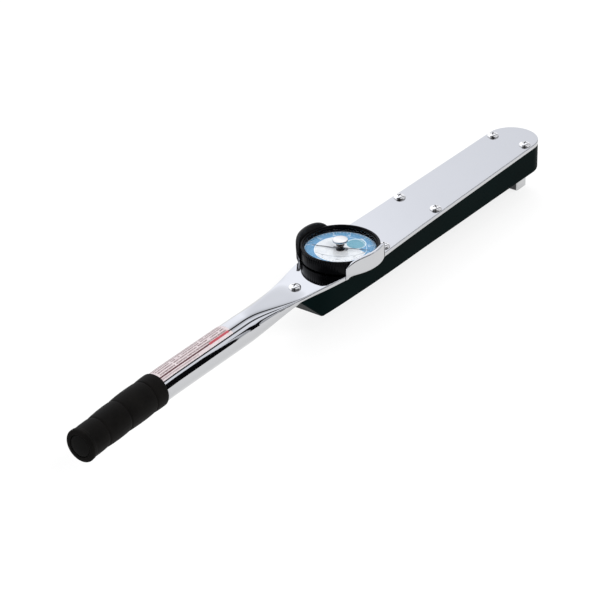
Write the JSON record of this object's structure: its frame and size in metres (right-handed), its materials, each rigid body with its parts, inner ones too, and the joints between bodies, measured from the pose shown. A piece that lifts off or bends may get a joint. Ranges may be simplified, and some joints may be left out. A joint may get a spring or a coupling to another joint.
{
  "type": "dial torque wrench",
  "caption": "Dial torque wrench: chromed handle tube pressed into a long top plate, black housing, bending beam, square drive, turning bezel and needles.",
  "frame": {"origin": "centre of the square drive's flat end face", "axes": "+X from the handle to the head, along the wrench; +Y to the left of a person holding the handle with the dial up; +Z from the square's end face up through the dial"},
  "size_m": [0.5169, 0.062, 0.057],
  "materials": {
    "chrome": "mirror polished chrome plate",
    "screw_chrome": "polished chrome",
    "black_satin": "satin black enamel on a casting",
    "bezel_black": "gloss black",
    "grip_rubber": "matt moulded rubber",
    "dial_print": "printed sheet, blue ring on white",
    "crystal": "clear polished",
    "needle_black": "black paint",
    "ground_steel": "ground",
    "spring_steel": "oiled, dark",
    "brass": "turned",
    "bronze": "turned bearing bronze",
    "plain_alloy": "plain mill finish",
    "label_vinyl": "printed film",
    "dark_plastic": "moulded, matt"
  },
  "bodies": {
    "frame": {"frame_shell": "chrome", "grip": "grip_rubber", "tube_end_plug": "dark_plastic", "handle_label": "label_vinyl", "base_housing": "black_satin", "cover_screw_1": "screw_chrome", "cover_screw_2": "screw_chrome", "cover_screw_3": "screw_chrome", "cover_screw_4": "screw_chrome", "cover_screw_5": "screw_chrome", "cover_screw_6": "screw_chrome", "cover_screw_7": "screw_chrome", "lower_bush": "bronze", "upper_bush": "bronze", "load_block_left": "ground_steel", "load_block_right": "ground_steel", "load_block_screw_left": "ground_steel", "load_block_screw_right": "ground_steel", "load_pin_left": "ground_steel", "load_pin_right": "ground_steel", "pinion_bracket": "brass", "bracket_screw_left": "ground_steel", "bracket_screw_right": "ground_steel", "spindle_bush": "brass", "dial_case": "dark_plastic", "case_screw_1": "ground_steel", "case_screw_2": "ground_steel", "case_screw_3": "ground_steel", "hairspring": "spring_steel", "friction_spring": "spring_steel", "bezel_snap_ring": "spring_steel"},
    "drive": {"drive_head": "chrome", "measuring_beam": "spring_steel", "beam_pin": "ground_steel", "rack_arm": "plain_alloy", "arm_screw_left": "ground_steel", "arm_screw_right": "ground_steel", "thrust_washer": "ground_steel", "detent_spring": "spring_steel"},
    "pointer": {"pinion_shaft": "ground_steel", "main_pointer": "needle_black"},
    "bezel": {"bezel_ring": "bezel_black", "dial_face": "dial_print", "lens": "crystal", "lens_ring": "bezel_black"},
    "memory": {"memory_knob": "chrome", "memory_needle": "needle_black"},
    "detent": {"detent_ball": "ground_steel"}
  },
  "joints": [
    {"name": "drive_turn", "type": "hinge", "parent": "frame", "child": "drive", "pos_m": [0, 0, 0], "axis": [0, 0, 1], "range_deg": [-1.86, 1.86], "deforming": ["measuring_beam"]},
    {"name": "pointer_turn", "type": "hinge", "parent": "frame", "child": "pointer", "pos_m": [-0.2273, 0, 0.0431], "axis": [0, 0, 1], "range_deg": [-301, 301], "deforming": ["hairspring"]},
    {"name": "bezel_turn", "type": "hinge", "parent": "frame", "child": "bezel", "pos_m": [-0.2273, 0, 0.0431], "axis": [0, 0, 1], "continuous": true},
    {"name": "memory_turn", "type": "hinge", "parent": "bezel", "child": "memory", "pos_m": [-0.2273, 0, 0.0431], "axis": [0, 0, 1], "continuous": true},
    {"name": "ball_press", "type": "slide", "parent": "drive", "child": "detent", "axis": [-1, 0, 0], "range_m": [0, 0.001], "deforming": ["detent_spring"]}
  ],
  "couplings": [
    {"joint": "pointer_turn", "follows": "drive_turn", "ratio": -161.36}
  ]
}
